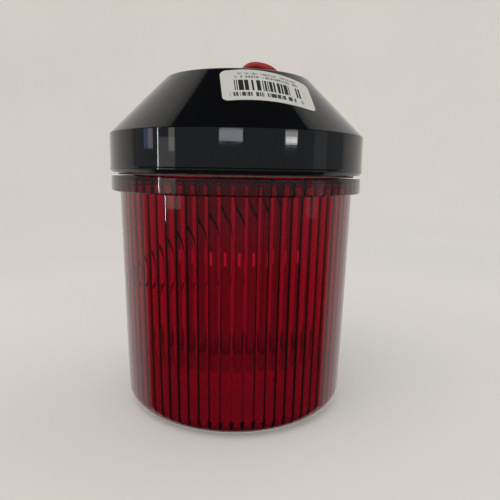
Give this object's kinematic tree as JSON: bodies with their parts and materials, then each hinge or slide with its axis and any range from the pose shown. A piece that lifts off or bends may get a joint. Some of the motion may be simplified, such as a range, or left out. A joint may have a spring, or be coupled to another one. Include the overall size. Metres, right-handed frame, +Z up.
{
  "type": "beacon warning light",
  "caption": "Cylindrical warning beacon with a fluted red lens that twists off a glossy black conical base, with a light tower inside and a red flying lead.",
  "frame": {"origin": "centre of the lens's flat end, on the surface the light stands on", "axes": "+Z up along the light's axis to the base's mounting face; -Y towards the side with the paper label; the lead arches towards +X"},
  "size_m": [0.124, 0.124, 0.168],
  "materials": {
    "black_abs": "high gloss moulded",
    "red_polycarbonate": "transparent, polished outside and fluted inside",
    "grey_silicone": "matt cut sheet",
    "black_rubber": "matt moulded",
    "white_nylon": "moulded satin",
    "aluminium_extrusion": "natural extruded",
    "black_nylon": "moulded satin",
    "green_laminate": "solder mask, satin",
    "white_laminate": "solder mask, satin",
    "diode_phosphor": "silicone over phosphor, satin",
    "black_pvc": "extruded insulation, satin",
    "capacitor_sleeve": "shrunk sleeve",
    "copper_winding": "enamelled wire",
    "black_epoxy": "moulded matt",
    "plated_steel": "zinc plated",
    "green_nylon": "moulded satin",
    "brass": "turned",
    "red_pvc": "extruded insulation, satin",
    "label_paper": "matt coated paper"
  },
  "bodies": {
    "base": {"base_housing": "black_abs", "cable_grommet": "black_rubber", "threaded_insert_1": "brass", "threaded_insert_2": "brass", "threaded_insert_3": "brass", "tower_carrier": "black_nylon", "carrier_screw_1": "plated_steel", "carrier_screw_2": "plated_steel", "carrier_screw_3": "plated_steel", "tower_core": "aluminium_extrusion", "tower_screw_1": "plated_steel", "tower_screw_2": "plated_steel", "tower_screw_3": "plated_steel", "light_board_1": "white_laminate", "light_board_2": "white_laminate", "light_board_3": "white_laminate", "light_board_4": "white_laminate", "light_board_5": "white_laminate", "light_board_6": "white_laminate", "diode_1": "diode_phosphor", "diode_2": "diode_phosphor", "diode_3": "diode_phosphor", "diode_4": "diode_phosphor", "diode_5": "diode_phosphor", "diode_6": "diode_phosphor", "feed_lead": "black_pvc", "feed_plug": "white_nylon", "tower_cap": "white_nylon", "cap_screw_1": "plated_steel", "cap_screw_2": "plated_steel", "cap_screw_3": "plated_steel", "driver_board": "green_laminate", "board_screw_1": "plated_steel", "board_screw_2": "plated_steel", "board_screw_3": "plated_steel", "capacitor": "capacitor_sleeve", "inductor": "copper_winding", "rectifier": "black_epoxy", "driver_chip": "black_epoxy", "fuse": "plated_steel", "terminal_block": "green_nylon", "lead_inside": "red_pvc", "supply_lead": "red_pvc", "supply_lead_coil": "red_pvc", "paper_label": "label_paper"},
    "seal": {"lens_gasket": "grey_silicone"},
    "lens_cup": {"lens": "red_polycarbonate"}
  },
  "joints": [
    {"name": "lens_travel", "type": "slide", "parent": "base", "child": "seal", "axis": [0, 0, -1], "range_m": [0, 0.00245]},
    {"name": "lens_turn", "type": "hinge", "parent": "seal", "child": "lens_cup", "pos_m": [0, 0, 0.1126], "axis": [0, 0, -1], "range_deg": [0, 45]}
  ],
  "couplings": [
    {"joint": "lens_travel", "follows": "lens_turn", "m_per_rad": 0.003056}
  ]
}
